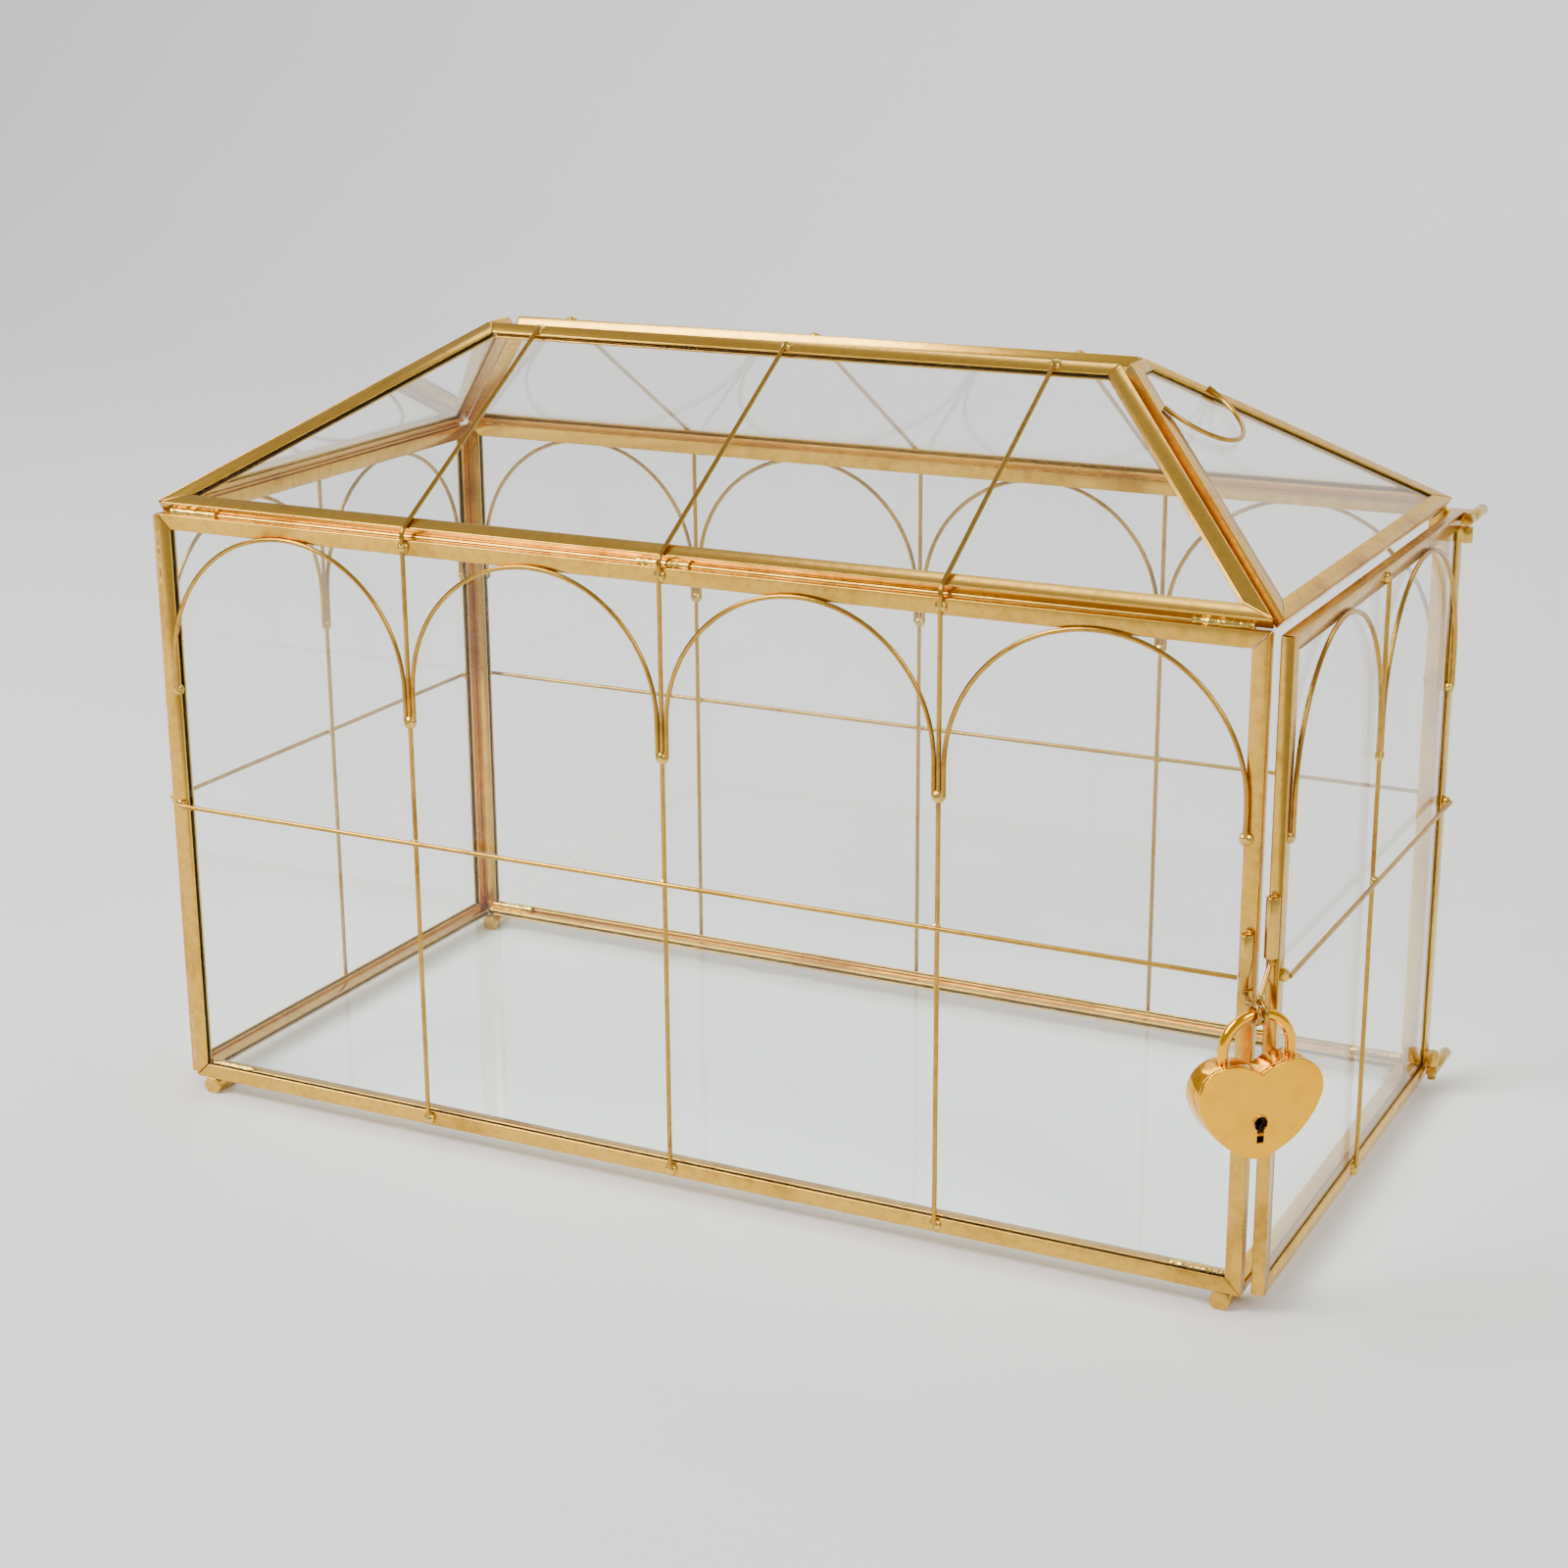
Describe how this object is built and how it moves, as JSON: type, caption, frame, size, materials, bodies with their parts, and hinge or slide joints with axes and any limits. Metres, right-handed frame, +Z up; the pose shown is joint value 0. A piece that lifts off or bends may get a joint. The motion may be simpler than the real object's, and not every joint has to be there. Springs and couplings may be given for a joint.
{
  "type": "wedding card box",
  "caption": "Greenhouse-shaped glass box framed in brass, with arched wire windows, a card slot along its hipped roof, a hinged end door and a heart padlock.",
  "frame": {"origin": "middle of the box's floor plan, on the plane that the four feet stand on", "axes": "+X along the ridge towards the door, -Y the front with the lock at its right end, +Z up"},
  "size_m": [0.3223, 0.1806, 0.208],
  "materials": {
    "glass": "clear, faintly green at the edges",
    "came": "brushed, lightly aged",
    "wire": "drawn wire, satin",
    "solder": "brass-plated solder, bright and lumpy",
    "hardware": "satin",
    "padlock": "polished gold-tone",
    "shackle": "polished gold-tone",
    "lock_parts": "plain steel"
  },
  "bodies": {
    "box": {"base_glass": "glass", "front_glass": "glass", "back_glass": "glass", "left_glass": "glass", "roof_front_glass": "glass", "roof_back_glass": "glass", "roof_left_glass": "glass", "roof_right_glass": "glass", "base_came": "came", "front_came": "came", "back_came": "came", "left_came": "came", "roof_front_came": "came", "roof_back_came": "came", "roof_left_came": "came", "roof_right_came": "came", "front_uprights": "wire", "front_rail": "wire", "front_arches": "wire", "back_uprights": "wire", "back_rail": "wire", "back_arches": "wire", "left_upright": "wire", "left_rail": "wire", "left_arches": "wire", "roof_half_ring": "wire", "front_solder": "solder", "back_solder": "solder", "left_solder": "solder", "seam_solder": "solder", "feet": "hardware", "hinge_rods": "hardware", "hinge_lugs": "hardware", "wall_lock_tube": "hardware", "wall_lock_eye": "wire"},
    "door": {"door_glass": "glass", "door_came": "came", "door_upright": "wire", "door_rail": "wire", "door_arches": "wire", "door_solder": "solder", "hinge_pins": "wire", "hinge_knuckles": "hardware", "door_lock_tube": "hardware", "door_lock_eye": "wire"},
    "shackle": {"shackle": "shackle"},
    "padlock": {"padlock_case": "padlock", "padlock_face": "padlock", "shackle_spring": "lock_parts"},
    "latch": {"lock_latch": "lock_parts"},
    "key_cam": {"key_cam": "lock_parts"}
  },
  "joints": [
    {"name": "door_swing", "type": "hinge", "parent": "box", "child": "door", "pos_m": [0.1569, 0.0701, 0.0834], "axis": [0, 0, 1], "range_deg": [0, 120]},
    {"name": "padlock_swing", "type": "hinge", "parent": "box", "child": "shackle", "pos_m": [0.15303, -0.08204, 0.0775], "axis": [-0.7071, -0.7071, 0], "range_deg": [0, 90]},
    {"name": "shackle_lift", "type": "slide", "parent": "shackle", "child": "padlock", "axis": [0, 0, -1], "range_m": [0, 0.005], "deforming": ["shackle_spring"]},
    {"name": "latch_slide", "type": "slide", "parent": "padlock", "child": "latch", "axis": [-0.7071, -0.7071, 0], "range_m": [0, 0.0021]},
    {"name": "key_turn", "type": "hinge", "parent": "padlock", "child": "key_cam", "pos_m": [0.15303, -0.08204, 0.0525], "axis": [0.7071, -0.7071, 0], "range_deg": [0, 90]}
  ],
  "couplings": [
    {"joint": "latch_slide", "follows": "shackle_lift", "ratio": 0.42},
    {"joint": "key_turn", "follows": "shackle_lift", "rad_per_m": 314.16}
  ]
}
